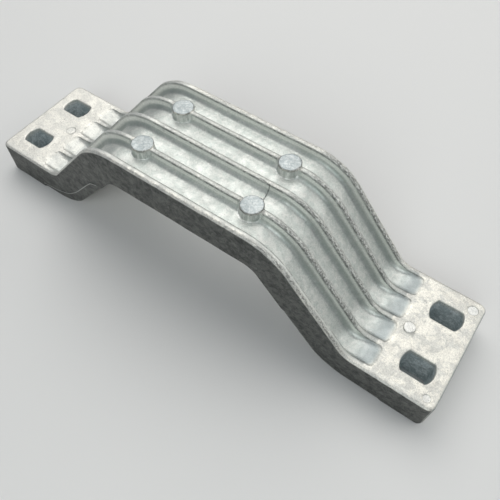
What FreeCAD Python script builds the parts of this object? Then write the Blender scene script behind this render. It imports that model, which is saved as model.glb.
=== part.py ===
import FreeCAD, Part
import math
import os

from FreeCAD import Vector

# Bracket anode: one zinc casting, a bar that arches between two bolted feet.
# Millimetres, +Z up. Origin: centre of the bar on the plane the feet rest on.
# X runs along the bar, Y across it.

# Bar outline, one thickness all along and bends with shared centres
bar_length = 219.4
bar_width = 50.0
bar_thickness = 16.2
arch_rise = 38.8
slope_angle = 49.0
foot_reach = 35.0
foot_bend_radius = 8.0
arch_bend_radius = 8.5

# Rounding of the casting's own edges
corner_radius = 3.0
top_edge_radius = 1.2
bottom_edge_radius = 0.9

# Long grooves between the ribs
rib_spacing = 11.9
rib_top_width = 2.0
rim_top_width = 2.7
groove_depth = 4.0
groove_slope_depth = 4.4
groove_foot_depth = 2.8
groove_end_depth = 0.55
groove_end_reach = 24.8
groove_ramp_length = 0.8
groove_wall_draft = 7.0
groove_floor_bevel = 1.3
groove_foot_bend_radius = 12.0
groove_end_bend_radius = 9.0
groove_cutter_height = 7.0
rib_edge_bevel = 0.4
rib_bevel_setback = 0.15
rib_bevel_bend_radius = 2.0

# Round bosses on the two outer ribs
boss_top_radius = 4.3
boss_draft = 2.0
boss_spacing_x = 49.8
boss_proud = 0.3
boss_edge_bevel = 0.35

# Bolt slots, flat sides and bowed ends
slot_width = 8.4
slot_length = 12.3
slot_end_radius = 7.0
slot_corner_radius = 0.9
slot_reach = 11.6
slot_spacing_y = 25.0
slot_draft = 0.8
slot_lip_bevel = 0.4

# Ejector pin marks on the feet: side, reach from that end, y, radius and height or depth
rib_end_mark = (1, 20.9, -0.3, 2.35, 0.5)
sunk_marks = ((1, 4.3, 20.1, 2.1, 0.3), (1, 4.1, -21.2, 1.5, 0.25), (-1, 20.5, -0.3, 2.2, 0.25))

# Strips trimmed off the near lower edge where the casting was fed: from, to, height, depth
left_trim = (22.5, 64.5, 4.4, 0.7)
right_trim = (17.0, 59.0, 1.8, 0.45)

# Sizes worked out from the ones above
half_length = bar_length / 2
half_width = bar_width / 2
slope = math.radians(slope_angle)
arch_top = bar_thickness + arch_rise
slope_run = arch_rise / math.tan(slope)
heel_reach = foot_reach + bar_thickness * math.tan(slope / 2)
heel_bend_radius = foot_bend_radius + bar_thickness
shoulder_bend_radius = arch_bend_radius + bar_thickness
boss_top = arch_top + boss_proud
slot_centre_x = half_length - slot_reach


def rounded_corners(corners, closed):
    """Start, middle, end and centre of the arc that rounds each corner (x, z, radius)."""
    arcs = []
    count = len(corners)
    for index, (x, z, radius) in enumerate(corners):
        here = Vector(x, 0, z)
        at_an_end = not closed and index in (0, count - 1)
        if radius == 0 or at_an_end:
            arcs.append((here, None, here, None))
            continue
        before = corners[index - 1]
        after = corners[(index + 1) % count]
        back = (Vector(before[0], 0, before[1]) - here).normalize()
        on = (Vector(after[0], 0, after[1]) - here).normalize()
        half_angle = back.getAngle(on) / 2
        bisector = (back + on).normalize()
        centre = here + bisector * (radius / math.sin(half_angle))
        start = here + back * (radius / math.tan(half_angle))
        end = here + on * (radius / math.tan(half_angle))
        arcs.append((start, centre - bisector * radius, end, centre))
    return arcs


def outline_face(corners):
    """Face in the XZ plane inside a closed outline with rounded corners."""
    arcs = rounded_corners(corners, True)
    edges = []
    for index, (start, middle, end, centre) in enumerate(arcs):
        if middle is not None:
            edges.append(Part.Arc(start, middle, end).toShape())
        following = arcs[(index + 1) % len(arcs)][0]
        edges.append(Part.makeLine(end, following))
    return Part.Face(Part.Wire(edges))


def swept(corners, section):
    """Solid swept along a rounded path; section(point, direction) gives the face to carry."""
    arcs = rounded_corners(corners, False)
    pieces = []
    for index in range(1, len(arcs)):
        leaving = arcs[index - 1][2]
        arriving, middle, end, centre = arcs[index]
        direction = arriving - leaving
        unit = Vector(direction).normalize()
        pieces.append(section(leaving, unit).extrude(direction))
        if middle is None:
            continue
        turn = (arriving - centre).getAngle(end - centre)
        side = unit.cross(centre - arriving)
        axis = Vector(0, 1 if side.y > 0 else -1, 0)
        pieces.append(section(arriving, unit).revolve(centre, axis, math.degrees(turn)))
    return pieces[0].fuse(pieces[1:])


def mirrored(left):
    """Corners of the whole bar from those of its left half, given by reach from the end."""
    corners = [(reach - half_length, z, radius) for reach, z, radius in left]
    corners += [(half_length - reach, z, radius) for reach, z, radius in reversed(left)]
    return corners


# Side outline of the bar, drawn out across its width
under_side = mirrored([
    (0.0, 0.0, 0),
    (heel_reach, 0.0, heel_bend_radius),
    (heel_reach + slope_run, arch_rise, arch_bend_radius),
])
top_side = mirrored([
    (0.0, bar_thickness, 0),
    (foot_reach, bar_thickness, foot_bend_radius),
    (foot_reach + slope_run, arch_top, shoulder_bend_radius),
])
side_face = outline_face(under_side + top_side[::-1])
side_face.translate(Vector(0, -half_width, 0))
bar = side_face.extrude(Vector(0, bar_width, 0))


def is_upright(edge):
    """True for the four upright corner edges at the ends of the feet."""
    box = edge.BoundBox
    return box.XLength < 0.01 and box.YLength < 0.01 and box.ZLength > 1


def facings(solid, edge):
    """Middle of an edge and the outward directions of the faces that meet there."""
    middle = edge.valueAt((edge.FirstParameter + edge.LastParameter) / 2)
    directions = []
    for face in solid.ancestorsOfType(edge, Part.Face):
        u, v = face.Surface.parameter(middle)
        directions.append(face.normalAt(u, v))
    return middle, directions


def outline_edges(solid, side):
    """Edges between the upright walls and the skin above (side 1) or below (side -1)."""
    chosen = []
    for edge in solid.Edges:
        middle, directions = facings(solid, edge)
        has_wall = any(abs(direction.z) < 0.01 for direction in directions)
        has_skin = any(direction.z * side > 0.1 for direction in directions)
        if has_wall and has_skin:
            chosen.append(edge)
    return chosen


bar = bar.makeFillet(corner_radius, [edge for edge in bar.Edges if is_upright(edge)])
bar = bar.makeFillet(top_edge_radius, outline_edges(bar, 1))
bar = bar.makeFillet(bottom_edge_radius, outline_edges(bar, -1))

# Floor line of the grooves: down a short ramp, along the foot, up the slope and over the arch
plateau_floor = arch_top - groove_depth
floor_shift = groove_slope_depth / math.sin(slope)
foot_corner_reach = foot_reach + floor_shift - groove_foot_depth / math.tan(slope)
arch_corner_reach = foot_reach + floor_shift + (arch_rise - groove_depth) / math.tan(slope)
ramp_slope = groove_end_depth / groove_ramp_length
lead_in = 2.0
groove_path = mirrored([
    (groove_end_reach - lead_in / ramp_slope, bar_thickness + lead_in, 0),
    (groove_end_reach + groove_ramp_length, bar_thickness - groove_end_depth, groove_end_bend_radius),
    (foot_corner_reach, bar_thickness - groove_foot_depth, groove_foot_bend_radius),
    (arch_corner_reach, plateau_floor, shoulder_bend_radius - groove_depth),
])
bevel_reach = groove_end_reach + rib_bevel_setback
rib_edge_path = mirrored([
    (bevel_reach - lead_in / ramp_slope, bar_thickness + rib_edge_bevel + lead_in, 0),
    (bevel_reach + rib_edge_bevel / ramp_slope, bar_thickness, rib_bevel_bend_radius),
    (foot_reach, bar_thickness, foot_bend_radius),
    (foot_reach + slope_run, arch_top, shoulder_bend_radius),
])


def carried(places):
    """Section for a sweep, from its corners (across, height above the path)."""

    def section(point, direction):
        up = Vector(-direction.z, 0, direction.x)
        if up.z < 0:
            up = -up
        corners = [point + up * height + Vector(0, across, 0) for across, height in places]
        return Part.Face(Part.makePolygon(corners + corners[:1]))

    return section


def groove_section(near, far):
    """Cross-section of a groove between two edges: drafted walls and bevelled lower corners."""
    lean = math.tan(math.radians(groove_wall_draft))
    bevel = groove_floor_bevel
    low = near + groove_depth * lean
    high = far - groove_depth * lean
    spread = groove_cutter_height * lean
    return carried([
        (low + bevel, 0),
        (high - bevel, 0),
        (high + bevel * lean, bevel),
        (high + spread, groove_cutter_height),
        (low - spread, groove_cutter_height),
        (low - bevel * lean, bevel),
    ])


def rib_bevel_section(near, far):
    """Cross-section that bevels the rib edges on both sides of a groove."""
    bevel = rib_edge_bevel
    return carried([
        (near, -bevel),
        (far, -bevel),
        (far + 2 * bevel, bevel),
        (near - 2 * bevel, bevel),
    ])


# Four grooves: two beside the middle rib and two inside the rims
rib_half = rib_top_width / 2
inner_groove = (rib_half, rib_spacing - rib_half)
outer_groove = (rib_spacing + rib_half, half_width - rim_top_width)
for near, far in (inner_groove, outer_groove):
    for low, high in ((near, far), (-far, -near)):
        bar = bar.cut(swept(groove_path, groove_section(low, high)))
        bar = bar.cut(swept(rib_edge_path, rib_bevel_section(low, high)))

# Bosses, standing from the groove floors through the outer ribs
boss_foot = plateau_floor - 1.0
boss_height = boss_top - boss_foot
boss_base_radius = boss_top_radius + boss_height * math.tan(math.radians(boss_draft))
for x in (-boss_spacing_x / 2, boss_spacing_x / 2):
    for y in (-rib_spacing, rib_spacing):
        boss = Part.makeCone(boss_base_radius, boss_top_radius, boss_height, Vector(x, y, boss_foot))
        rim = [edge for edge in boss.Edges if edge.BoundBox.ZMin > boss_top - 0.01]
        bar = bar.fuse(boss.makeChamfer(boss_edge_bevel, rim))

# Raised pin mark that ends the middle rib, and the sunk ones
side, reach, mark_y, mark_radius, mark_height = rib_end_mark
mark_base = Vector(side * (half_length - reach), mark_y, bar_thickness - 1)
raised = Part.makeCylinder(mark_radius, mark_height + 1, mark_base)
rim = [edge for edge in raised.Edges if edge.BoundBox.ZMin > bar_thickness]
bar = bar.fuse(raised.makeChamfer(mark_height / 2, rim))
for side, reach, mark_y, mark_radius, mark_depth in sunk_marks:
    mark_base = Vector(side * (half_length - reach), mark_y, bar_thickness - mark_depth)
    bar = bar.cut(Part.makeCylinder(mark_radius, mark_depth + 1, mark_base))


def slot_wire(x, y, z, grow):
    """Slot outline: two straight sides and two bowed ends, grown all round."""
    side = slot_width / 2 + grow
    end = slot_length / 2 + grow
    bow = slot_end_radius + grow
    corner = end - bow + math.sqrt(bow * bow - side * side)
    low_left = Vector(x - corner, y - side, z)
    low_right = Vector(x + corner, y - side, z)
    high_left = Vector(x - corner, y + side, z)
    high_right = Vector(x + corner, y + side, z)
    return Part.Wire([
        Part.makeLine(low_left, low_right),
        Part.Arc(low_right, Vector(x + end, y, z), high_right).toShape(),
        Part.makeLine(high_right, high_left),
        Part.Arc(high_left, Vector(x - end, y, z), low_left).toShape(),
    ])


def is_slot_lip(edge):
    """True for the slot edges in the upper faces of the feet."""
    box = edge.BoundBox
    if box.ZLength > 0.001 or abs(box.ZMin - bar_thickness) > 0.001:
        return False
    off_x = abs(abs(box.Center.x) - slot_centre_x)
    off_y = abs(abs(box.Center.y) - slot_spacing_y / 2)
    return off_x < slot_length / 2 + 1 and off_y < slot_width / 2 + 1


# Slots through the feet, narrowest at the bottom
growth = bar_thickness * math.tan(math.radians(slot_draft))
for x in (-slot_centre_x, slot_centre_x):
    for y in (-slot_spacing_y / 2, slot_spacing_y / 2):
        bottom = slot_wire(x, y, 0, 0)
        top = slot_wire(x, y, bar_thickness, growth)
        slot = Part.makeLoft([bottom, top], True, True)
        uprights = [edge for edge in slot.Edges if edge.BoundBox.ZLength > 1]
        bar = bar.cut(slot.makeFillet(slot_corner_radius, uprights))
bar = bar.makeChamfer(slot_lip_bevel, [edge for edge in bar.Edges if is_slot_lip(edge)])


def trim_cutter(side, trim):
    """Wedge along the near lower edge of one bend, from the foot up the slope."""
    start, finish, height, depth = trim
    skin = -half_width
    path = [
        (side * (start - half_length), 0, 0),
        (side * (heel_reach - half_length), 0, heel_bend_radius),
        (side * (finish - half_length), (finish - heel_reach) * math.tan(slope), 0),
    ]
    return swept(path, carried([
        (skin, height),
        (skin + depth + depth / height, -1),
        (skin - 1, -1),
        (skin - 1, height),
    ]))


bar = bar.cut(trim_cutter(1, left_trim))
bar = bar.cut(trim_cutter(-1, right_trim))

anode_bar = bar.Solids[0]
os.makedirs("parts", exist_ok=True)
anode_bar.exportStep("parts/anode_bar.step")
print("solids", len(bar.Solids), "valid", bar.isValid(), "volume cm3", round(bar.Volume / 1000, 1))
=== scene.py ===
import math

import bmesh
import bpy
import numpy as np
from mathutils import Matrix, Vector


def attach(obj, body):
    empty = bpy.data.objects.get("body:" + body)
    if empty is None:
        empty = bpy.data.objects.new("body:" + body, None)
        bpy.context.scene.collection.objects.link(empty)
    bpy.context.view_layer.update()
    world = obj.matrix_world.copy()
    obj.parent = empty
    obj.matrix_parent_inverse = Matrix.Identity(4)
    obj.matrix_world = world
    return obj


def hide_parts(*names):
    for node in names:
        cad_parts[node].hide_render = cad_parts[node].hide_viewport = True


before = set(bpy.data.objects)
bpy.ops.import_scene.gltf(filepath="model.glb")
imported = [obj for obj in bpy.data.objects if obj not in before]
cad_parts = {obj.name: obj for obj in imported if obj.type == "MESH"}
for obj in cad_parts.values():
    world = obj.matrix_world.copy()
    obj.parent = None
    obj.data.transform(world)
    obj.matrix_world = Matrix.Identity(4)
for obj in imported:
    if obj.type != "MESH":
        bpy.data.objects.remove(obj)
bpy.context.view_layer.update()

# The bar's line. One zinc die casting in the shape of a flat-footed arch, of one thickness
# all along. Its skins run parallel, so every bend has one centre for both of them.
bar_length = 219.4
bar_width = 50.0
bar_thickness = 16.2
arch_rise = 38.8
slope_turn = math.radians(49.0)
foot_reach = 35.0
foot_bend_radius = 8.0
arch_bend_radius = 8.5

half_length = bar_length / 2
half_width = bar_width / 2
skin = bar_thickness / 2
half_turn = math.tan(slope_turn / 2)
shoulder_radius = arch_bend_radius + bar_thickness
slope_run = arch_rise / math.tan(slope_turn)
foot_straight = foot_reach - foot_bend_radius * half_turn
foot_arc = (foot_bend_radius + skin) * slope_turn
slope_straight = arch_rise / math.sin(slope_turn) - (foot_bend_radius + shoulder_radius) * half_turn
arch_arc = (arch_bend_radius + skin) * slope_turn
top_straight = bar_length - 2 * (foot_reach + slope_run + shoulder_radius * half_turn)
half_stretches = [foot_straight, foot_arc, slope_straight, arch_arc]
stretches = half_stretches + [top_straight] + half_stretches[::-1]
knots = np.concatenate([[0.0], np.cumsum(stretches)])
headings = slope_turn * np.array([0, 0, 1, 1, 0, 0, -1, -1, 0, 0])
line_length = knots[-1]

fine_steps = 60000
fine = np.linspace(0, line_length, fine_steps + 1)
fine_heading = np.interp(fine, knots, headings)
fine_step = fine[1] - fine[0]
middle_heading = (fine_heading[1:] + fine_heading[:-1]) / 2
fine_x = np.concatenate([[0.0], np.cumsum(np.cos(middle_heading))]) * fine_step - half_length
fine_z = np.concatenate([[0.0], np.cumsum(np.sin(middle_heading))]) * fine_step + skin


def on_bar(along, across, up):
    """Points at a distance along the middle line, across it, and up from it.

    The line's heading is constant on the straights and turns evenly in the bends; the
    point is the sum of small steps along that heading, moved up square to it."""
    heading = np.interp(along, knots, headings)
    x = np.interp(along, fine, fine_x) - up * np.sin(heading)
    z = np.interp(along, fine, fine_z) + up * np.cos(heading)
    return np.stack(np.broadcast_arrays(x, across, z), axis=-1)


# The grooves. Four channels cast between the three inner ribs and the two rims, deepest
# on the slopes, with drafted walls that turn into the floor in a wide soft corner. They
# run out on the feet in a short ramp.
rib_spacing = 11.9
rib_top_width = 2.0
rim_top_width = 2.7
wall_draft = math.radians(7.0)
rib_edge_radius = 0.5
floor_radius = 2.3
groove_end_reach = 24.8
end_corner_radius = 1.8
depth_places = np.array([
    groove_end_reach - 0.3, groove_end_reach + 0.4, foot_straight,
    knots[2], knots[3], knots[4], line_length / 2,
])
depth_values = np.array([0.0, 0.38, 1.6, 4.4, 4.4, 4.0, 4.0])
grooves = np.array([
    [-half_width + rim_top_width, -rib_spacing - rib_top_width / 2],
    [-rib_spacing + rib_top_width / 2, -rib_top_width / 2],
    [rib_top_width / 2, rib_spacing - rib_top_width / 2],
    [rib_spacing + rib_top_width / 2, half_width - rim_top_width],
])
tangent = math.tan((math.pi / 2 - wall_draft) / 2)
rib_tangent = rib_edge_radius * tangent
floor_tangent = floor_radius * tangent
least_depth = (rib_tangent + floor_tangent) * math.cos(wall_draft) + 0.05
join_share = 0.3
join_shortest = 0.25
join_longest = 2.5
join_samples = 9


def depth_along(along):
    """Depth of the grooves at a distance along the bar, the same from both ends.

    It is read off straight runs between the places where it changes, and then averaged
    over a short stretch, which rounds the joins."""
    from_end = np.minimum(along, line_length - along)
    spread = np.linspace(-1.0, 1.0, join_samples)
    width = np.clip((from_end - groove_end_reach) * join_share, join_shortest, join_longest)
    samples = from_end[..., None] + width[..., None] * spread
    return np.interp(samples, depth_places, depth_values).mean(axis=-1)


def end_narrowing(along):
    """How far the groove's edges draw in near its ends, as quarter circles."""
    inside = np.minimum(along, line_length - along) - groove_end_reach
    short = np.clip(end_corner_radius - inside, 0, end_corner_radius)
    return end_corner_radius - np.sqrt(end_corner_radius**2 - short**2)


def wall_profile(inward, depth):
    """Depth of the surface at a distance inward from a groove's edge.

    A quarter round off the rib, a straight drafted wall, a quarter round into the floor.
    Grooves too shallow for both rounds are the least groove that has them, flattened."""
    deep = np.maximum(depth, least_depth)
    wall_start = rib_tangent * math.sin(wall_draft)
    wall_finish = deep * math.tan(wall_draft) - floor_tangent * math.sin(wall_draft)
    floor_start = deep * math.tan(wall_draft) + floor_tangent
    rib_round = np.sqrt(np.clip(rib_edge_radius**2 - (inward + rib_tangent) ** 2, 0, None))
    floor_round = np.sqrt(np.clip(floor_radius**2 - (floor_start - inward) ** 2, 0, None))
    value = np.where(inward < wall_start, rib_edge_radius - rib_round, inward / math.tan(wall_draft))
    value = np.where(inward > wall_finish, deep - floor_radius + floor_round, value)
    value = np.where(inward < -rib_tangent, 0, value)
    value = np.where(inward > floor_start, deep, value)
    return value * depth / deep


def surface_depth(along, across):
    """Depth of the top surface below the skin at any place on the bar."""
    from_edges = [np.minimum(across - low, high - across) for low, high in grooves]
    inward = np.stack(from_edges).max(axis=0) - end_narrowing(along)
    return wall_profile(inward, depth_along(along))


# Where the columns of the top's grid lie: closest on the rounds of the ribs, wider on
# the floors, and even where the foot is flat.
wall_rounds = np.radians([0, 28, 56, 83])
floor_rounds = np.radians([83, 66, 49, 32, 16, 0])
wall_shares = np.array([1 / 3, 2 / 3])
floor_shares = np.array([0.28, 0.64])


def groove_columns(depth, draw_in):
    """Inward places of the columns from a groove's edge to its middle, for each depth."""
    deep = np.maximum(depth, least_depth)[:, None]
    rib_side = -rib_tangent + rib_edge_radius * np.sin(wall_rounds) + 0 * deep
    floor_start = deep * math.tan(wall_draft) + floor_tangent
    floor_side = floor_start - floor_radius * np.sin(floor_rounds)
    wall_low = rib_side[:, -1:]
    wall_high = floor_side[:, :1]
    wall = wall_low + (wall_high - wall_low) * wall_shares
    half_groove = (rib_spacing - rib_top_width) / 2
    middle = floor_start + (half_groove - draw_in - floor_start) * floor_shares
    return np.concatenate([rib_side, wall, floor_side, middle], axis=1)


top_edge_radius = 1.2
bottom_edge_radius = 0.9
corner_radius = 3.0
gather_length = 1.6
row_step = 0.62

end_rows = np.concatenate([
    top_edge_radius * (1 - np.cos(np.radians(np.linspace(0, 90, 8)))),
    [1.5, 1.9, 2.4, corner_radius],
])
middle_rows = np.linspace(
    corner_radius + row_step,
    line_length - corner_radius - row_step,
    int((line_length - 2 * corner_radius) / row_step),
)
rows = np.concatenate([end_rows, middle_rows, line_length - end_rows[::-1]])
from_end = np.minimum(rows, line_length - rows)

draw_in = end_narrowing(rows)[:, None]
inward = groove_columns(depth_along(rows), draw_in)
blocks = []
for number, (low, high) in enumerate(grooves):
    blocks.append(low + draw_in + inward)
    blocks.append(np.full((len(rows), 1), (low + high) / 2))
    blocks.append((high - draw_in - inward)[:, ::-1])
    if number < len(grooves) - 1:
        blocks.append(np.full((len(rows), 1), (high + grooves[number + 1][0]) / 2))
rim_middle = half_width - (rim_top_width + top_edge_radius) / 2
blocks = [np.full((len(rows), 1), -rim_middle)] + blocks + [np.full((len(rows), 1), rim_middle)]
section_across = np.concatenate(blocks, axis=1)
top_count = section_across.shape[1]
flat_edge = half_width - top_edge_radius
even_across = np.linspace(-flat_edge, flat_edge, top_count + 2)[1:-1]
gather = np.clip((from_end - groove_end_reach + gather_length) / gather_length, 0, 1)[:, None]
gather = gather * gather * (3 - 2 * gather)
top_across = even_across * (1 - gather) + section_across * gather


def outline_reach(inset):
    """Half width of the foot's outline, inset by some amount, row by row near the ends.

    The outline's corners are quarter circles, so an inset outline has smaller circles
    about the same centres."""
    centre = half_width - corner_radius
    past = corner_radius - np.minimum(from_end, corner_radius)[:, None]
    return centre + np.sqrt(np.clip((corner_radius - inset) ** 2 - past**2, 0, None))


def edge_round(radius, count):
    """Insets and drops of the columns on a rounded long edge, for each row.

    A quarter circle off the skin. In the last rows the inset is no more than the row's
    own distance from the end, so the long edge and the end's edge meet in the corner."""
    angle = np.radians(np.linspace(0, 90, count))
    inset = radius * (1 - np.sin(angle)) * np.clip(from_end / radius, 0, 1)[:, None]
    drop = radius - np.sqrt(np.clip(radius**2 - (radius - inset) ** 2, 0, None))
    return outline_reach(inset), drop


# The feed strip. Metal was let in along the near lower edge, and broken or ground off
# afterwards: a shallow step with a burr on the left bend, a thin band on the right. The burr
# is painted bright as a highlight
feed_places = np.array([22.0, 24.0, 36.1, 42.0, 46.6, 54.8, 59.2, 61.0, 62.2])
feed_heights = np.array([2.6, 3.1, 5.2, 5.1, 4.5, 4.45, 4.2, 2.6, 1.3])
feed_recess = 0.62
band_start = 16.5
band_finish = 57.0
band_height = 1.5
band_recess = 0.3
feed_fade = 0.8
band_fade = 1.5
feed_burr = 0.16
band_burr = 0.06
plain_ledge = 4.4


def faded(values, start, length):
    """A share that climbs straight from 0 at the start to 1 a length further on.

    With a negative length it is 1 far below the start and falls to 0 there."""
    return np.clip((values - start) / length, 0, 1)


x_of_row = np.interp(rows, fine, fine_x) + half_length
feed_height = np.interp(x_of_row, feed_places, feed_heights)
on_feed = faded(x_of_row, feed_places[0], feed_fade) * faded(x_of_row, feed_places[-1], -feed_fade)
from_right = bar_length - x_of_row
on_band = faded(from_right, band_start, band_fade) * faded(from_right, band_finish, -band_fade)
left_ledge = np.where(on_feed > 0, feed_height, plain_ledge)
ledge = np.where(x_of_row < half_length, left_ledge, band_height)[:, None]
recess = (on_feed * feed_recess + on_band * band_recess)[:, None]
burr = (on_feed * feed_burr + on_band * band_burr)[:, None]

# The bar's grid: a closed loop of columns round the section, one loop for each row
top_round_count = 6
low_round_count = 5
far_wall_count = 6
bottom_count = 44
ledge_offsets = (-0.25, -0.02, 0.16, 0.42)
shares_above = (0.25, 0.5, 0.75)

top_round, top_drop = edge_round(top_edge_radius, top_round_count)
low_round, low_drop = edge_round(bottom_edge_radius, low_round_count)
wall_reach = outline_reach(np.zeros((1, 1)))
top_scale = top_round[:, :1] / flat_edge
row_top = skin - top_drop[:, :1]
row_bottom = -skin + low_drop[:, :1]
wall_top = skin - top_edge_radius
wall_bottom = -skin + bottom_edge_radius

top_y = top_across * top_scale
top_t = row_top - surface_depth(rows[:, None] + 0 * top_y, top_y)

far_wall_t = np.linspace(wall_top, wall_bottom, far_wall_count + 2)[1:-1] + 0 * wall_reach
bottom_y = low_round[:, :1] * np.linspace(1, -1, bottom_count + 2)[1:-1]
bottom_t = row_bottom + 0 * bottom_y

ledge_t = -skin + ledge
near_wall_t = np.concatenate(
    [(wall_bottom + ledge_t) / 2]
    + [ledge_t + offset for offset in ledge_offsets]
    + [ledge_t + (wall_top - ledge_t) * share for share in shares_above],
    axis=1,
)
near_shift = np.concatenate([recess] * 3 + [-burr] + [0 * recess] * 4, axis=1)

# Each strip of the loop, by its places across the bar and its heights
strips = [
    (top_y, top_t),
    (top_round, skin - top_drop),
    (wall_reach + 0 * far_wall_t, far_wall_t),
    (low_round[:, ::-1], -skin + low_drop[:, ::-1]),
    (bottom_y, bottom_t),
    (-low_round + recess, -skin + low_drop),
    (-wall_reach + near_shift, near_wall_t),
    (-top_round[:, ::-1], skin - top_drop[:, ::-1]),
]
across, upward = (np.concatenate(parts, axis=1) for parts in zip(*strips))
row_count, column_count = across.shape
bottom_start = top_count + top_round_count + far_wall_count + low_round_count

points = [np.stack([rows[:, None] + 0 * across, across, upward], axis=-1).reshape(-1, 3)]
quads = []
triangles = []
caps = []
bar_index = np.arange(across.size).reshape(across.shape)
kept_quads = np.ones((row_count - 1, column_count), dtype=bool)


def bar_places(along, across, up):
    """Places on the bar, as distance along its middle line, across it and up from it."""
    return np.stack(np.broadcast_arrays(along, across, up), axis=-1)


def add_points(new_points):
    """Adds places to the casting and returns their numbers."""
    first = sum(len(places) for places in points)
    points.append(new_points)
    return np.arange(first, first + len(new_points))


def add_rings(ring, shapes):
    """Bands of quads from an existing ring through new rings of points; returns the last."""
    for shape in shapes:
        new_ring = add_points(shape)
        quads.append(np.stack([ring, np.roll(ring, -1), np.roll(new_ring, -1), new_ring], axis=1))
        ring = new_ring
    return ring


def add_zip(ring_a, turn_a, ring_b, turn_b):
    """Triangles between two closed rings of different count.

    Both are walked in order of their turn about the middle; each step forward on one
    ring makes a triangle with where the other ring has got to."""
    order = np.argsort(np.concatenate([turn_a, turn_b]), kind="stable")
    is_a = order < len(ring_a)
    ring_a = ring_a[np.argsort(turn_a)]
    ring_b = ring_b[np.argsort(turn_b)]
    at_a = np.cumsum(is_a) - 1
    at_b = np.cumsum(~is_a) - 1
    before_a, here_a = ring_a[at_a - 1], ring_a[at_a]
    before_b, here_b = ring_b[at_b - 1], ring_b[at_b]
    triangles.append(np.stack([before_a, here_a, here_b], axis=1)[is_a])
    triangles.append(np.stack([here_a, here_b, before_b], axis=1)[~is_a])


def add_fan(ring, centre):
    """Closes a ring with triangles to its middle."""
    middle = add_points(centre[None, :])
    triangles.append(np.stack([ring, np.roll(ring, -1), np.full(len(ring), middle[0])], axis=1))


def nearest(values, wanted):
    """Number of the value closest to the wanted one."""
    return int(np.abs(values - wanted).argmin())


def open_window(along_range, across_range, columns, first_column=0, way=1):
    """Leaves out the quads of a window in the bar's grid and returns the ring around it.

    The ring runs along the near side, up the right one, back along the far one and down
    the left one, whichever way the columns are counted. Each of its points also gets the
    number of its side and its share of that side."""
    row_low, row_high = (nearest(rows, place) for place in along_range)
    low, high = (first_column + nearest(columns, place) for place in across_range)
    kept_quads[row_low:row_high, min(low, high):max(low, high)] = False
    walk = np.arange(row_low, row_high + 1)
    climb = np.arange(low, high + way, way)
    ring = np.concatenate([
        bar_index[walk[:-1], climb[0]],
        bar_index[walk[-1], climb[:-1]],
        bar_index[walk[:0:-1], climb[-1]],
        bar_index[walk[0], climb[:0:-1]],
    ])
    counts = [len(walk) - 1, len(climb) - 1] * 2
    sides = np.repeat(np.arange(4), counts)
    shares = np.concatenate([np.arange(count) / count for count in counts])
    return ring, sides, shares


# The bolt slots. Two through each foot for the bolts that hold the anode to the bracket:
# straight along the bar, bowed at the ends, drafted, with lips rounded by the casting.
slot_width = 8.4
slot_length = 12.3
slot_end_radius = 7.0
slot_corner_radius = 0.9
slot_reach = 11.6
slot_spacing = 25.0
slot_draft = math.tan(math.radians(0.8))
slot_lip_radius = 0.55
slot_foot_radius = 0.3
slot_window_along = 7.4
slot_window_across = 5.2
arc_steps = 12
bow_steps = 24


def slot_outline(grow, sides, shares):
    """Slot outline points, given by side (near, right, far, left) and share of that side.

    Each quarter is a straight run, a small corner arc and part of the bowed end; a side
    goes from the middle of one corner arc to the middle of the next."""
    side = slot_width / 2 + grow
    bow = slot_end_radius + grow
    bow_centre = slot_length / 2 + grow - bow
    corner = slot_corner_radius
    corner_x = bow_centre + math.sqrt((bow - corner) ** 2 - (side - corner) ** 2)
    corner_y = -(side - corner)
    turn = math.atan2(corner_y, corner_x - bow_centre)
    half = (turn - math.pi / 2) / 2
    early = np.linspace(-math.pi / 2, half, arc_steps)
    late = np.linspace(half, turn, arc_steps)
    bowed = np.linspace(turn, 0, bow_steps)
    near_x = np.concatenate([[0.0], corner_x + corner * np.cos(early)])
    near_y = np.concatenate([[-side], corner_y + corner * np.sin(early)])
    end_x = np.concatenate([corner_x + corner * np.cos(late), bow_centre + bow * np.cos(bowed[1:])])
    end_y = np.concatenate([corner_y + corner * np.sin(late), bow * np.sin(bowed[1:])])
    flat = np.concatenate([np.stack([-near_x, near_y], 1)[:0:-1], np.stack([near_x, near_y], 1)])
    curved = np.concatenate([np.stack([end_x, end_y], 1), np.stack([end_x, -end_y], 1)[-2::-1]])
    runs = [flat, curved, -flat, -curved]
    result = np.zeros((len(sides), 2))
    for number, run in enumerate(runs):
        length = np.concatenate([[0.0], np.cumsum(np.hypot(*np.diff(run, axis=0).T))])
        chosen = sides == number
        result[chosen, 0] = np.interp(shares[chosen] * length[-1], length, run[:, 0])
        result[chosen, 1] = np.interp(shares[chosen] * length[-1], length, run[:, 1])
    return result


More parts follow.
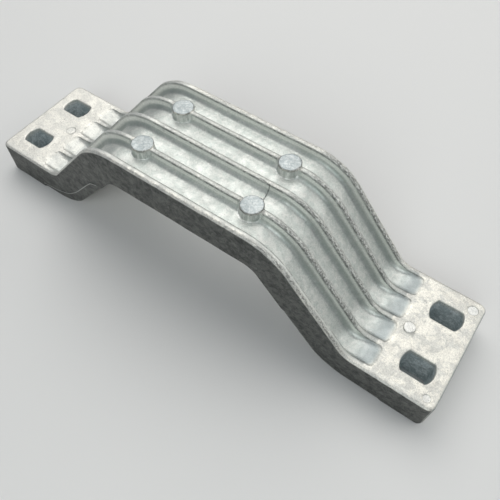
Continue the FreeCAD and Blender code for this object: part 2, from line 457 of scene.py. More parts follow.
foot_across = top_y[nearest(rows, slot_reach)]
bottom_across = bottom_y[nearest(rows, slot_reach)]
for centre_along in (slot_reach, line_length - slot_reach):
    along_range = (centre_along - slot_window_along, centre_along + slot_window_along)
    for centre_across in (-slot_spacing / 2, slot_spacing / 2):
        across_range = (centre_across - slot_window_across, centre_across + slot_window_across)
        ring, sides, shares = open_window(along_range, across_range, foot_across)
        border = points[0][ring, :2] - (centre_along, centre_across)

        def slot_ring(shape, up):
            """A ring of the slot, put in its place on the foot at some height."""
            return bar_places(centre_along + shape[:, 0], centre_across + shape[:, 1], up)

        grow_top = bar_thickness * slot_draft
        rim = slot_outline(grow_top + slot_lip_radius, sides, shares)
        shapes = [slot_ring(border + (rim - border) * share, skin) for share in (0.4, 0.75, 1.0)]
        for angle in np.radians([22, 44, 66, 90]):
            outline = slot_outline(grow_top + slot_lip_radius * (1 - math.sin(angle)), sides, shares)
            shapes.append(slot_ring(outline, skin - slot_lip_radius * (1 - math.cos(angle))))
        for share in (0.15, 0.35, 0.6, 0.85, 1.0):
            up = skin - slot_lip_radius - share * (bar_thickness - slot_lip_radius - slot_foot_radius)
            shapes.append(slot_ring(slot_outline((up + skin) * slot_draft, sides, shares), up))
        for angle in np.radians([60, 30, 0]):
            outline = slot_outline(slot_foot_radius * (1 - math.sin(angle)), sides, shares)
            shapes.append(slot_ring(outline, -skin + slot_foot_radius * (1 - math.cos(angle))))
        last_ring = add_rings(ring, shapes)

        low_ring, low_sides, low_shares = open_window(
            along_range, across_range, bottom_across, bottom_start, -1
        )
        add_zip(last_ring, sides + shares, low_ring, low_sides + low_shares)

# The bosses. Four round studs cast through the two outer ribs on the level top, their
# faces dressed flat and hardly higher than the ribs.
boss_top_radius = 4.3
boss_draft = math.tan(math.radians(2.0))
boss_spacing = 49.8
boss_proud = 0.3
boss_edge_radius = 0.4
boss_root_radius = 0.4
boss_window_along = 7.0
boss_window_across = 6.3
boss_base_grow = 0.15
boss_top_rings = (3.4, 2.6, 1.7, 0.8)
root_fade = 1.5
least_wall = 0.02
rim_waves = ((2, 0.10), (5, 0.05), (11, 0.035))
aligned_reach = 2.3
corner_turn = math.radians(48.0)

plateau_across = top_y[row_count // 2]
for centre_along in (line_length / 2 - boss_spacing / 2, line_length / 2 + boss_spacing / 2):
    along_range = (centre_along - boss_window_along, centre_along + boss_window_along)
    for centre_across in (-rib_spacing, rib_spacing):
        across_range = (centre_across - boss_window_across, centre_across + boss_window_across)
        ring, sides, shares = open_window(along_range, across_range, plateau_across)
        border_x, border_y = (points[0][ring, :2] - (centre_along, centre_across)).T
        outer_radius = boss_top_radius + boss_root_radius + boss_base_grow

        # Columns that cross the rib run straight into the boss; the others fan out
        upright = np.abs(border_y)
        straight = np.arcsin(np.clip(upright / outer_radius, 0, 1))
        straight_end = math.asin(aligned_reach / outer_radius)
        fanned = np.interp(upright, [aligned_reach, upright.max()], [straight_end, corner_turn])
        end_turn = np.where(upright < aligned_reach, straight, fanned)
        side_turn = math.pi / 2 - np.abs(border_x) / np.abs(border_x).max() * (math.pi / 2 - corner_turn)
        turn = np.where(sides % 2 == 1, end_turn, side_turn)
        turn = np.where(shares == 0, corner_turn, turn)
        way_x = np.sign(border_x) * np.cos(turn)
        way_y = np.sign(border_y) * np.sin(turn)

        def boss_ring(x, y, up):
            """A ring round the boss, at heights above the bar's middle line."""
            return bar_places(centre_along + x, centre_across + y, up)

        def floor_up(x, y):
            """Height of the ribs and grooves round the boss."""
            return skin - surface_depth(centre_along + x, centre_across + y)

        # The rim is uneven: a few waves of its radius, different on each boss
        full_turn = np.arctan2(way_y, way_x)
        wobble = 0 * full_turn
        starts = (centre_along, centre_across, centre_along * centre_across)
        for (waves, size), start in zip(rim_waves, starts):
            wobble += size * np.sin(waves * full_turn + start)

        shapes = []
        for share in (0.2, 0.4, 0.6, 0.8, 1.0):
            x = border_x + (way_x * outer_radius - border_x) * share
            y = border_y + (way_y * outer_radius - border_y) * share
            shapes.append(boss_ring(x, y, floor_up(x, y)))
        boss_up = skin + boss_proud
        for angle in np.radians([25, 50, 70]):
            out = boss_root_radius * (1 - math.sin(angle))
            rise = boss_root_radius * (1 - math.cos(angle))
            radius = boss_top_radius + boss_base_grow + out
            x, y = way_x * radius, way_y * radius
            low = floor_up(x, y)
            share = np.clip((skin - low) / root_fade, 0, 1)
            shapes.append(boss_ring(x, y, low + rise * share))
        shoulder_up = boss_up - boss_edge_radius
        start_up = np.minimum(low + rise * share, shoulder_up - least_wall)
        for share in (0.12, 0.3, 0.55, 0.8, 1.0):
            up = start_up + (shoulder_up - start_up) * share
            radius = boss_top_radius + (boss_up - up) * boss_draft + wobble * share
            shapes.append(boss_ring(way_x * radius, way_y * radius, up))
        for angle in np.radians([30, 60, 90]):
            radius = boss_top_radius - boss_edge_radius * (1 - math.cos(angle)) + wobble
            up = shoulder_up + boss_edge_radius * math.sin(angle)
            shapes.append(boss_ring(way_x * radius, way_y * radius, up))
        for radius in boss_top_rings:
            shapes.append(boss_ring(way_x * radius, way_y * radius, boss_up))
        last_ring = add_rings(ring, shapes)
        add_fan(last_ring, bar_places(centre_along, centre_across, boss_up))

# The ejector prints. Round pins pushed the hot casting out of its die and left shallow
# discs on the feet, one of them proud where the middle rib ends. Each has its place along
# and across, its radius, its height and how strong a painted highlight its face gets. The
# steps of its edge have their reach past the radius and their share of the height.
pin_prints = (
    (line_length - 20.9, -0.3, 2.35, 0.5, 1.0),
    (line_length - 4.3, 20.1, 2.05, -0.3, 1.0),
    (line_length - 4.1, -21.2, 1.5, -0.25, 0.7),
    (20.5, -0.3, 2.2, -0.22, 0.3),
)
print_steps = (
    (0.16, 0.0), (0.06, 0.12), (-0.04, 0.5), (-0.14, 0.88), (-0.26, 1.0), (-0.7, 0.97), (-1.2, 0.94),
)
print_middle = 0.92
print_margin = 0.7
raised_wobble = 0.15
sunk_wobble = 0.02
print_points = 72
print_turns = np.linspace(-math.pi, math.pi, print_points, endpoint=False)
slot_edge_column = slot_spacing / 2 + slot_window_across
for centre_along, centre_across, radius, height, shine in pin_prints:
    # A window beside a slot stops at the slot's own window
    margin = radius + print_margin
    along_range = (centre_along - margin, centre_along + margin)
    low_limit = centre_across - margin
    if centre_across > slot_edge_column:
        low_limit = max(low_limit, slot_edge_column)
    ring = open_window(along_range, (low_limit, centre_across + margin), foot_across)[0]
    ring_x, ring_y = (points[0][ring, :2] - (centre_along, centre_across)).T
    ring_turn = np.arctan2(ring_y, ring_x)
    wobble_size = raised_wobble if height > 0 else sunk_wobble
    wobble = np.sin(3 * print_turns + 0.7) + 0.5 * np.sin(5 * print_turns + 2.0)
    rim_radius = radius + wobble_size * wobble
    shapes = []
    for reach, share in print_steps:
        x = centre_along + (rim_radius + reach) * np.cos(print_turns)
        y = centre_across + (rim_radius + reach) * np.sin(print_turns)
        shapes.append(bar_places(x, y, skin + height * share))
    first_ring = add_points(shapes[0])
    add_zip(ring, ring_turn, first_ring, print_turns)
    last_ring = add_rings(first_ring, shapes[1:])
    add_fan(last_ring, bar_places(centre_along, centre_across, skin + height * print_middle))

# The casting's surfaces are joined into one closed skin, and the ends are closed
cap_width_share = 0.95
cap_height_share = 0.86
millimetre = 0.001
next_column = np.roll(bar_index, -1, axis=1)
bar_quads = np.stack([bar_index[:-1], next_column[:-1], next_column[1:], bar_index[1:]], axis=-1)
quads.append(bar_quads[kept_quads])
for row in (0, row_count - 1):
    cap = bar_places(rows[row], across[row] * cap_width_share, upward[row] * cap_height_share)
    caps.append(add_rings(bar_index[row], [cap]).tolist())

along_all, across_all, up_all = np.concatenate(points).T
all_points = on_bar(along_all, across_all, up_all)
faces = np.concatenate(quads).tolist() + np.concatenate(triangles).tolist() + caps
casting_mesh = bpy.data.meshes.new("anode_casting")
casting_mesh.from_pydata((all_points * millimetre).tolist(), [], faces)

# Masks for the finish, painted on the points: what lies in a groove, on a side wall, on a
# crest of the slopes, on a dressed top, in a slot, and where the thin lines of painted shade
# run. Several carry painted light and shade: shade in the grooves, at their ends and corners,
# on the sides and far shoulders; highlights on the crests, the burr and the pin prints; a
# reflection on the groove walls. Places and the lengths of the fades are in millimetres
slope_start = 27
slope_finish = 86
slot_near_along = 6.5
slot_near_across = 4.7
boss_clear = 5.0
print_line_width = 0.13
rib_centres = np.array([1.0 - half_width, -rib_spacing, 0.0, rib_spacing, half_width - 1.2])

depth_below = skin - up_all
from_end_all = np.minimum(along_all, line_length - along_all)
from_middle = np.abs(along_all - line_length / 2)
from_boss = np.hypot(from_middle - boss_spacing / 2, np.abs(across_all) - rib_spacing)
from_slot = np.abs(np.abs(across_all) - slot_spacing / 2)
depth_full = depth_along(along_all)

on_top = up_all > 0
past_ends = from_end_all > groove_end_reach + 3
on_slope = faded(from_middle, slope_start, 9) * faded(from_middle, slope_finish, -8)
left_foot = faded(along_all, foot_straight + 3, -4)
left_bend = faded(along_all, line_length / 2 - 24, -6)
in_slot = (np.abs(from_end_all - slot_reach) < slot_near_along) & (from_slot < slot_near_across)
between_rims = (np.abs(across_all) < half_width - 1.3) & on_top
in_groove = between_rims * past_ends

near_rim = faded(-across_all, half_width - 3.0, 0.5) * on_top
below_edge = up_all < wall_top + 0.5
near_side = faded(-across_all, half_width - 1.5, 0.7) * below_edge
far_side = faded(across_all, half_width - 1.5, 0.7) * below_edge
end_side = faded(from_end_all, 1.0, -0.7) * below_edge
other_sides = np.maximum(far_side, np.maximum(end_side, up_all < -skin + 0.5))

# The pin prints: thin rings of painted shade round their edges, and their faces for a painted highlight
print_line = np.zeros(len(along_all))
print_face = np.zeros(len(along_all))
for centre_along, centre_across, radius, height, shine in pin_prints:
    from_print = np.hypot(along_all - centre_along, across_all - centre_across)
    on_line = np.abs(from_print - radius - 0.02) < print_line_width
    print_line = np.maximum(print_line, on_line * on_top)
    print_face = np.maximum(print_face, (from_print < radius - 0.1) * on_top * shine)

# The ribs: how far past a groove's edge a place lies, and which half of the rib it is on
from_edges = np.stack([across_all - low + rib_tangent for low, high in grooves])
past_edge = np.take_along_axis(from_edges, np.abs(from_edges).argmin(axis=0)[None, :], axis=0)[0]
on_rib = (depth_below < 0.5) * on_top * past_ends * (from_boss > boss_clear)
off_centre = across_all - rib_centres[np.abs(across_all[:, None] - rib_centres).argmin(axis=1)]
near_half = np.clip(0.9 - off_centre / 0.9, 0, 1)
crest_share = faded(depth_below, 0.9, -0.9)

# The thin lines of painted shade: along both sides of each rib, round the groove ends and round the bosses
end_line = np.clip(1.4 - np.abs(depth_below - 0.16) / 0.12, 0, 1) * between_rims * (1 - past_ends)
end_line *= (1 - in_slot) * (from_end_all > groove_end_reach - 0.5) * (1 - 0.5 * left_foot)
rib_line = np.clip(1.6 - np.abs(depth_below - 0.33) / 0.2, 0, 1) * in_groove
boss_line = (up_all > skin - 0.2) * (from_boss > 4.0)
rib_line = np.where(from_boss < boss_clear, boss_line, rib_line)
far_edge = np.clip(past_edge / 0.2 + 0.5 * on_slope, 0, 1) * (past_edge < 0.6) * on_rib
rib_line = np.maximum(rib_line, far_edge) * (1 - 0.4 * left_bend)
feed_ledge = np.interp(along_all, rows, ledge[:, 0]) - skin
feed_share = np.interp(along_all, rows, on_feed + 0.4 * on_band) * (across_all < 1 - half_width)

masks = {
    "groove": np.maximum(faded(depth_below, 0.12, 0.5), 0.6 * on_rib) * between_rims
    * (1 - in_slot) * (1 - 0.6 * left_foot),
    "end": faded(from_end_all, groove_end_reach + 12, -8),
    "side": np.maximum(near_side, 0.6 * other_sides),
    "crest": crest_share * np.maximum(on_slope, 0.35 * near_rim),
    "crest_near": crest_share * np.maximum(on_slope, 0.35 * np.maximum(near_rim, on_rib))
    * near_half * (1 - 0.65 * left_bend),
    "shoulder": faded(np.abs(past_edge), 0.57, -0.57) * on_rib * (1 - on_slope) * (1 - 0.8 * left_bend),
    "pale_left_top": left_foot * on_top,
    "dressed": faded(up_all, skin + 0.1, 0.1) * (from_middle < 40),
    "slot": faded(depth_below, 0, 2.0) * in_slot,
    "shade_line": np.maximum(rib_line, 0.55 * np.maximum(end_line, print_line)),
    "wall": faded(depth_below, 0.4, 0.2) * faded(depth_below, 2.5, -0.5) * in_groove
    * faded(depth_full, 2.8, 0.8) * faded(from_boss, 5.2, 0.6),
    "corner": faded(depth_below, 2.3, 0.5) * faded(depth_full - depth_below, 0.12, 0.3) * in_groove
    * (0.5 + 0.5 * on_slope),
    "stud": (from_boss < 4.9) * (up_all < skin - 0.1) * on_top,
    "burr": np.clip(1.2 - np.abs(up_all - feed_ledge - 0.14) / 0.2, 0, 1) * feed_share,
    "pin_highlight": print_face,
}
for mask_name, values in masks.items():
    layer = casting_mesh.attributes.new(mask_name, "FLOAT", "POINT")
    layer.data.foreach_set("value", values.astype(np.float32))
layer = casting_mesh.attributes.new("bar_place", "FLOAT_VECTOR", "POINT")
layer.data.foreach_set("vector", (np.concatenate(points) * millimetre).astype(np.float32).ravel())
builder = bmesh.new()
builder.from_mesh(casting_mesh)
loose = [vertex for vertex in builder.verts if not vertex.link_faces]
bmesh.ops.delete(builder, geom=loose, context="VERTS")
bmesh.ops.remove_doubles(builder, verts=builder.verts, dist=1e-7)
bmesh.ops.recalc_face_normals(builder, faces=builder.faces)
builder.to_mesh(casting_mesh)
builder.free()
casting_mesh.shade_smooth()
scene = bpy.context.scene
casting = bpy.data.objects.new("anode_casting", casting_mesh)
scene.collection.objects.link(casting)


def lattice_noise(places, size, seed):
    """Smooth noise between -1 and 1 on points in space.

    Random values at the corners of a cubic lattice, blended inside each cube by smooth
    steps along its three edges."""
    low = places.min(axis=0) - size
    scaled = (places - low) / size
    cell = np.floor(scaled).astype(int)
    part = scaled - cell
    part = part * part * (3 - 2 * part)
    shape = cell.max(axis=0) + 2
    values = np.random.default_rng(seed).uniform(-1, 1, tuple(shape))
    total = np.zeros(len(places))
    for corner in range(8):
        offset = np.array([corner & 1, (corner >> 1) & 1, corner >> 2])
        weight = np.prod(np.where(offset == 1, part, 1 - part), axis=1)
        at = cell + offset
        total += weight * values[at[:, 0], at[:, 1], at[:, 2]]
    return total


# Cast relief: the skin swells and dips a little where the metal shrank, and the near rim is
# chipped. Heights are in millimetres and lengths in metres
relief_waves = ((0.05, 0.013, 1), (0.035, 0.0048, 2), (0.02, 0.0019, 3))
chip_depth = 0.55
chip_length = 0.0021
chip_threshold = 0.42

vertex_count = len(casting_mesh.vertices)
places, normals = np.empty((2, vertex_count, 3))
casting_mesh.vertices.foreach_get("co", places.ravel())
casting_mesh.vertex_normals.foreach_get("vector", normals.ravel())
relief = np.zeros(vertex_count)
for height, length, seed in relief_waves:
    relief += height * lattice_noise(places, length, seed)
rim_share = faded(-places[:, 1] / millimetre, half_width - 1.6, 0.6) * (normals[:, 2] > 0.25)
relief -= chip_depth * np.clip(lattice_noise(places, chip_length, 4) - chip_threshold, 0, 1) * rim_share
moved = places + normals * (relief * millimetre)[:, None]
moved[:, 2] = np.maximum(moved[:, 2], 0.0)
casting_mesh.vertices.foreach_set("co", moved.ravel())
casting_mesh.update()

# Zinc as cast: a pale satin metal with a thin dull skin. It is mottled warm and cool where it
# cooled unevenly, brighter where the die dragged on the studs, and grey where it was dressed.
# Painted light and shade lie over it: highlights on the crests, the burr and the pin prints,
# a painted reflection on the groove walls, and shade on the sides, in the grooves, in their
# corners and along the ribs
zinc = bpy.data.materials.new("zinc_casting")
zinc.use_nodes = True
tree = zinc.node_tree
shader = tree.nodes["Principled BSDF"]


def put_node(tree, kind, label, inputs, **settings):
    """Adds a node, sets its settings, and links or sets its inputs by name or number."""
    node = tree.nodes.new("ShaderNode" + kind)
    node.label = label
    for name, value in settings.items():
        setattr(node, name, value)
    for name, value in inputs.items():
        if isinstance(value, bpy.types.NodeSocket):
            tree.links.new(value, node.inputs[name])
        else:
            node.inputs[name].default_value = value
    return node


def maths(tree, label, first, second, operation="MULTIPLY"):
    """The result of a maths node, a product unless it says otherwise."""
    return put_node(tree, "Math", label, {0: first, 1: second}, operation=operation).outputs[0]


def mixed(tree, label, share, colour_a, colour_b, blend="MIX"):
    """The result of mixing two colours by a share."""
    inputs = {0: share, 6: colour_a, 7: colour_b}
    return put_node(tree, "Mix", label, inputs, data_type="RGBA", blend_type=blend).outputs[2]


def between(tree, label, value, low, high, out_low=0.0, out_high=1.0):
    """A value moved smoothly from one range to another."""
    inputs = {"Value": value, "From Min": low, "From Max": high, "To Min": out_low, "To Max": out_high}
    return put_node(tree, "MapRange", label, inputs, interpolation_type="SMOOTHSTEP").outputs[0]


def noise(tree, label, places, scale, detail, roughness=0.5, distortion=0.0):
    """Noise on places in metres; the scale is in waves per metre."""
    inputs = {"Vector": places, "Scale": scale, "Detail": detail}
    inputs.update({"Roughness": roughness, "Distortion": distortion})
    return put_node(tree, "TexNoise", label, inputs).outputs[0]


def new_group(name, inputs, outputs):
    """A node group with its sockets, and the sockets inside it."""
    group = bpy.data.node_groups.new(name, "ShaderNodeTree")
    for in_out, sockets in (("INPUT", inputs), ("OUTPUT", outputs)):
        for socket_name, kind in sockets.items():
            group.interface.new_socket(socket_name, in_out=in_out, socket_type="NodeSocket" + kind)
    return group, group.nodes.new("NodeGroupInput").outputs, group.nodes.new("NodeGroupOutput").inputs


def painted(name):
    """A mask painted on the mesh's points."""
    return put_node(tree, "Attribute", name, {}, attribute_name=name).outputs["Fac"]


def mottled(label, field, low, high, dark, light):
    """Two colours in patches, the light one where a noise is high."""
    return mixed(tree, label, between(tree, label + " edges", field, low, high), dark, light)


def laid_over(label, mask, strength, under, over):
    """One colour over another, by a mask times a strength."""
    return mixed(tree, label, maths(tree, label + " share", mask, strength), under, over)


def added(label, value, field, amount):
    """A value with some amount of a field added to it."""
    return maths(tree, label, value, maths(tree, label + " amount", field, amount), "ADD")


# Cast skin, for any zinc surface: soft patches, a fine grain and scattered flecks
skin_names = ("Patches", "Grain", "Flecks", "Height")
skin_sockets = dict.fromkeys(skin_names, "Float")
skin_group, skin_in, skin_out = new_group("cast_skin", {"Vector": "Vector"}, skin_sockets)
at = skin_in["Vector"]
patches = noise(skin_group, "patches 4 mm", at, 230.0, 5.0, 0.62, 0.4)
grain = noise(skin_group, "grain 0.5 mm", at, 1900.0, 3.0, 0.7)
pores = noise(skin_group, "flecks 0.8 mm", at, 1150.0, 2.0, 0.6, 0.6)
waves = noise(skin_group, "swells 2 mm", at, 520.0, 3.0, 0.55)
flecks = between(skin_group, "only the highest", pores, 0.6, 0.7)
height = maths(skin_group, "grain and swells", grain, 0.35, "MULTIPLY_ADD")
skin_group.links.new(waves, height.node.inputs[2])
pits = maths(skin_group, "pits", flecks, 0.12)
height = maths(skin_group, "less in the flecks", height, pits, "SUBTRACT")
for socket_name, value in zip(skin_names, (patches, grain, flecks, height)):
    skin_group.links.new(value, skin_out[socket_name])

# Hairline, for any scratch or crack: how near a place is to a straight line between two
# points, on places that a noise has shaken a little
line_sockets = {"Vector": "Vector", "Start": "Vector", "Finish": "Vector", "Width": "Float"}
line_group, line_in, line_out = new_group("hairline", line_sockets, {"Line": "Float"})
line_at, line_start, line_finish, line_width = (line_in[name] for name in line_sockets)


def vectors(label, operation, first, second, output="Vector"):
    """The result of a vector maths node in the hairline; scaling takes a number second."""
    second_input = "Scale" if operation == "SCALE" else 1
    inputs = {0: first, second_input: second}
    return put_node(line_group, "VectorMath", label, inputs, operation=operation).outputs[output]


shake = {"Vector": line_at, "Scale": 900.0, "Detail": 2.0}
shake = put_node(line_group, "TexNoise", "shake 1 mm", shake).outputs["Color"]
shake = vectors("about nought", "SUBTRACT", shake, (0.5, 0.5, 0.5))
shaken = vectors("shaken places", "ADD", line_at, vectors("0.5 mm", "SCALE", shake, 0.0009))
run = vectors("start to finish", "SUBTRACT", line_finish, line_start)
reach = vectors("start to here", "SUBTRACT", shaken, line_start)
forward = vectors("forward", "DOT_PRODUCT", reach, run, "Value")
whole = vectors("whole", "DOT_PRODUCT", run, run, "Value")
share = maths(line_group, "share of the line", forward, whole, "DIVIDE")
share = put_node(line_group, "Clamp", "on the line", {"Value": share}).outputs[0]
apart = vectors("away from it", "DISTANCE", reach, vectors("nearest place", "SCALE", run, share), "Value")
near = maths(line_group, "in widths", apart, line_width, "DIVIDE")
line = between(line_group, "fades at the sides", near, 0.35, 1.0, 1.0, 0.0)
line_group.links.new(line, line_out["Line"])

places = put_node(tree, "TexCoord", "places in metres", {}).outputs["Object"]
cast = put_node(tree, "Group", "cast skin", {"Vector": places}, node_tree=skin_group)
patches, grain, flecks, skin_height = (cast.outputs[name] for name in skin_names)
groove, side, dressed = (painted(name) for name in ("groove", "side", "dressed"))

# Colours: warm on the feet and crests, sage in the grooves that is partly painted shade, and painted shade
# darkening the sides
colour = mottled("warm and pale", patches, 0.42, 0.58, (0.84, 0.82, 0.745, 1), (0.69, 0.685, 0.64, 1))
large_patches = noise(tree, "large patches 9 mm", places, 105.0, 6.0, 0.66, 0.7)
dull_patches = between(tree, "dull edges", large_patches, 0.5, 0.68)
colour = laid_over("dull patches", dull_patches, 0.45, colour, (0.485, 0.475, 0.44, 1))
# The left foot's top made paler
colour = laid_over("paler left foot top", painted("pale_left_top"), 0.5, colour, (0.80, 0.79, 0.735, 1))
fine_patches = noise(tree, "fine patches 2 mm", places, 400.0, 6.0, 0.7, 0.6)
# The sage tint of the grooves is partly painted shade; on the left foot it fades into the foot's colour
sage = mottled("sage", fine_patches, 0.36, 0.66, (0.55, 0.59, 0.56, 1), (0.705, 0.717, 0.685, 1))
# Painted shade, bluish, darkening the grooves near their ends
sage = laid_over("painted shade at the groove ends", painted("end"), 0.75, sage, (0.31, 0.35, 0.36, 1))
colour = mixed(tree, "grooves", groove, colour, sage)
# Painted highlight on the faces of the pin prints, stronger on some than others
colour = laid_over("painted highlight on the pin prints", painted("pin_highlight"), 0.8, colour, (0.86, 0.86, 0.83, 1))
# Painted reflection: the groove walls made bright as if they mirrored the lit floors
colour = laid_over("painted reflection on the groove walls", painted("wall"), 0.9, colour, (0.93, 0.945, 0.90, 1))
# Painted shade in the concave corners at the foot of the groove walls, more on the slopes
colour = laid_over("painted shade in the groove corners", painted("corner"), 0.55, colour, (0.25, 0.30, 0.28, 1))
# Painted shade: the sides, ends and underside made dark grey, the near side darkest
side_field = noise(tree, "side mottle 2 mm", places, 430.0, 6.0, 0.7, 0.5)
painted_side_shade = mottled("side mottle", side_field, 0.34, 0.68, (0.07, 0.074, 0.07, 1), (0.175, 0.18, 0.168, 1))
colour = mixed(tree, "sides", side, colour, painted_side_shade)
# Painted highlight along the burr of the feed strip
colour = laid_over("bright burr", painted("burr"), 0.9, colour, (0.72, 0.73, 0.70, 1))
streaks = mottled("slot streaks", fine_patches, 0.42, 0.6, (0.53, 0.595, 0.61, 1), (0.82, 0.87, 0.885, 1))
colour = mixed(tree, "slots", painted("slot"), colour, streaks)
drawn = {"Vector": places, "Scale": (1.0, 1.0, 0.08)}
drawn = put_node(tree, "Mapping", "drawn out upright", drawn).outputs[0]
drags = between(tree, "drag marks", noise(tree, "drags 0.8 mm", drawn, 1100.0, 2.0), 0.42, 0.58)
drags = maths(tree, "drags on the studs", drags, painted("stud"))
colour = laid_over("studs dragged by the die", drags, 0.5, colour, (0.95, 0.96, 0.93, 1))
top_field = noise(tree, "top mottle 1 mm", places, 800.0, 4.0, 0.6, 0.8)
tops = mottled("dressed mottle", top_field, 0.4, 0.62, (0.34, 0.38, 0.385, 1), (0.51, 0.54, 0.535, 1))
colour = mixed(tree, "dressed tops", dressed, colour, tops)

# Grain and flecks over all, weaker in the grooves. The crests of the slopes get a painted
# highlight, their near halves scuffed; painted shade dulls the far shoulders and runs in a
# broken line beside each rib
tone = between(tree, "grain tone", grain, 0.3, 0.7, 0.8, 1.13)
grey = put_node(tree, "CombineColor", "grey", {0: tone, 1: tone, 2: tone}).outputs[0]
smoother = between(tree, "smoother in the grooves", groove, 0.0, 1.0, 1.0, 0.68)
colour = mixed(tree, "grain", smoother, colour, grey, "MULTIPLY")
fewer = maths(tree, "fewer flecks in the grooves", flecks, smoother)
colour = laid_over("dark flecks", fewer, 0.38, colour, (0.25, 0.26, 0.25, 1))
# Painted highlight along the crests of the ribs on the slopes and along the near rim
colour = laid_over("painted highlight on the crests", painted("crest"), 0.5, colour, (0.74, 0.76, 0.73, 1))
bar_place = put_node(tree, "Attribute", "places on the bar", {}, attribute_name="bar_place")
drawn = {"Vector": bar_place.outputs["Vector"], "Scale": (0.62, 1.0, 1.0)}
drawn = put_node(tree, "Mapping", "drawn out along the bar", drawn).outputs[0]
scuffs = between(tree, "scuffs", noise(tree, "scuffs 0.6 mm", drawn, 1500.0, 5.0, 0.8), 0.43, 0.57)
scuffs = maths(tree, "scuffs on the crests", scuffs, painted("crest_near"))
colour = laid_over("scuffed crests", scuffs, 0.85, colour, (0.1, 0.105, 0.1, 1))
# Painted shade on the rounded far shoulder of each rib on the level top
colour = laid_over("painted shade on the far shoulders", painted("shoulder"), 0.85, colour, (0.36, 0.37, 0.345, 1))
# Painted shade in thin broken lines beside the ribs and round the groove ends, pin prints and bosses
broken = between(tree, "broken here and there", fine_patches, 0.4, 0.56, 0.1, 0.75)
shade_line_share = maths(tree, "line share", painted("shade_line"), broken)
colour = mixed(tree, "painted shade line beside the ribs", shade_line_share, colour, (0.13, 0.14, 0.13, 1))

# Hairlines: a crack down the middle rib and into the groove, and one by the far left boss.
# Each has its width and the places it runs through, in metres
cracks = {
    "crack_rib": (0.00034, (
        (0.0205, -0.0006, 0.0551), (0.0246, -0.0010, 0.0550), (0.0247, -0.0012, 0.0530),
        (0.0247, -0.0016, 0.0520), (0.0247, -0.0024, 0.0513), (0.0248, -0.0035, 0.0510),
        (0.0250, -0.0066, 0.0510),
    )),
    "crack_boss": (0.00040, ((-0.0243, 0.0180, 0.0511), (-0.0228, 0.0200, 0.0550))),
}
hairlines = 0.0
for crack_name, (crack_width, crack_places) in cracks.items():
    for start, finish in zip(crack_places[:-1], crack_places[1:]):
        inputs = {"Vector": places, "Start": start, "Finish": finish, "Width": crack_width}
        crack = put_node(tree, "Group", crack_name, inputs, node_tree=line_group)
        hairlines = maths(tree, "all hairlines", crack.outputs["Line"], hairlines, "MAXIMUM")
colour = laid_over("hairlines", hairlines, 0.62, colour, (0.1, 0.105, 0.1, 1))

# Tool lines on the dressed tops, straight and fine
turned = {"Vector": places, "Rotation": (0.0, 0.0, math.radians(62.0))}
turned = put_node(tree, "Mapping", "across the tops", turned).outputs[0]
tool = {"Vector": turned, "Scale": 250.0, "Distortion": 3.0, "Detail": 2.0, "Detail Scale": 0.6}
tool = put_node(tree, "TexWave", "tool lines", tool, bands_direction="X").outputs["Fac"]
tool = maths(tree, "tool lines on top", tool, dressed)
colour = laid_over("tool marks", tool, 0.3, colour, (0.3, 0.34, 0.36, 1))

rough = between(tree, "rough by patches", patches, 0.35, 0.65, 0.4, 0.54)
rough = maths(tree, "rougher grain", rough, between(tree, "grain", grain, 0.3, 0.7, -0.06, 0.06), "ADD")
rough = added("rougher sides", rough, side, 0.08)
rough = added("smoother tops", rough, dressed, -0.06)

relief = maths(tree, "skin relief", skin_height, 0.22)
relief = maths(tree, "less in the grooves", relief, smoother)
flatter = between(tree, "dressed flat", dressed, 0.0, 1.0, 1.0, 0.3)
relief = maths(tree, "less on top", relief, flatter)
relief = added("tool grooves", relief, tool, 0.035)
relief = added("scuff pits", relief, scuffs, -0.09)
relief = added("hairline pits", relief, hairlines, -0.15)
bump = {"Height": relief, "Distance": millimetre, "Strength": 0.75}
bump = put_node(tree, "Bump", "relief in millimetres", bump)

tree.links.new(colour, shader.inputs["Base Color"])
tree.links.new(rough, shader.inputs["Roughness"])
tree.links.new(bump.outputs["Normal"], shader.inputs["Normal"])
shader.inputs["Metallic"].default_value = 0.68
casting_mesh.materials.append(zinc)
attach(casting, "root")
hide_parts("anode_bar")

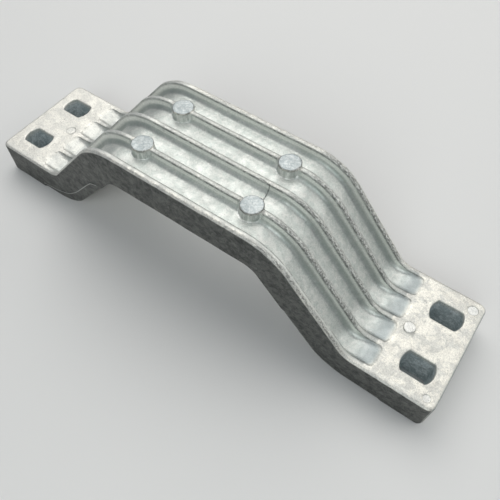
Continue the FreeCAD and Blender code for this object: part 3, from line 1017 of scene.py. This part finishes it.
# The floor: a plain pale sheet under the object
floor_reach = 0.8
floor_height = -0.0001
floor_turns = ((-1, -1), (1, -1), (1, 1), (-1, 1))
floor_mesh = bpy.data.meshes.new("floor")
floor_corners = [(x * floor_reach, y * floor_reach, floor_height) for x, y in floor_turns]
floor_mesh.from_pydata(floor_corners, [], [(0, 1, 2, 3)])
floor = bpy.data.objects.new("floor", floor_mesh)
floor_paint = bpy.data.materials.new("floor")
floor_paint.use_nodes = True
floor_shader = floor_paint.node_tree.nodes["Principled BSDF"]
floor_shader.inputs["Base Color"].default_value = (0.74, 0.74, 0.73, 1)
floor_shader.inputs["Roughness"].default_value = 0.9
floor_mesh.materials.append(floor_paint)
scene.collection.objects.link(floor)

# The light: three soft round lamps under a dim grey sky. The strongest hangs high behind
# the left end, one stands behind the right end, and one is in front
lamps = (
    ("key", (-0.3, 0.36, 0.76), 0.95, 4.95, (1.0, 0.985, 0.955)),
    ("side", (0.6, 0.45, 0.5), 1.0, 2.9, (1.0, 0.99, 0.955)),
    ("front", (0.22, -0.76, 0.68), 0.7, 3.3, (0.95, 1.0, 0.985)),
)
for name, place, size, power, tint in lamps:
    lamp = bpy.data.lights.new(name, "AREA")
    lamp.shape = "DISK"
    lamp.size = size
    lamp.energy = power
    lamp.color = tint
    lamp_object = bpy.data.objects.new(name, lamp)
    lamp_object.location = place
    lamp_object.rotation_euler = Vector(place).to_track_quat("Z", "Y").to_euler()
    scene.collection.objects.link(lamp_object)

world = bpy.data.worlds.new("studio")
world.use_nodes = True
sky_tree = world.node_tree
background = sky_tree.nodes["Background"]
seen = put_node(sky_tree, "LightPath", "seen by the camera", {}).outputs["Is Camera Ray"]
sky = mixed(sky_tree, "backdrop seen pale", seen, (0.17, 0.18, 0.2, 1), (0.72, 0.73, 0.73, 1))
sky_tree.links.new(sky, background.inputs["Color"])
scene.world = world

# The camera, where the photograph was taken from
view_turn = math.radians(35.39)
view_rise = math.radians(56.74)
camera_place = (0.08959, -0.10418, 0.19882)
sensor_width = 36.0
focal_pixels = 534.45
photo_pixels = 500

camera_data = bpy.data.cameras.new("camera")
camera_data.sensor_width = sensor_width
camera_data.lens = sensor_width * focal_pixels / photo_pixels
camera_data.clip_start = 0.01
camera = bpy.data.objects.new("camera", camera_data)
camera.location = camera_place
camera.rotation_euler = (math.pi / 2 - view_rise, 0, view_turn)
scene.collection.objects.link(camera)
scene.camera = camera
scene.view_settings.view_transform = "Standard"
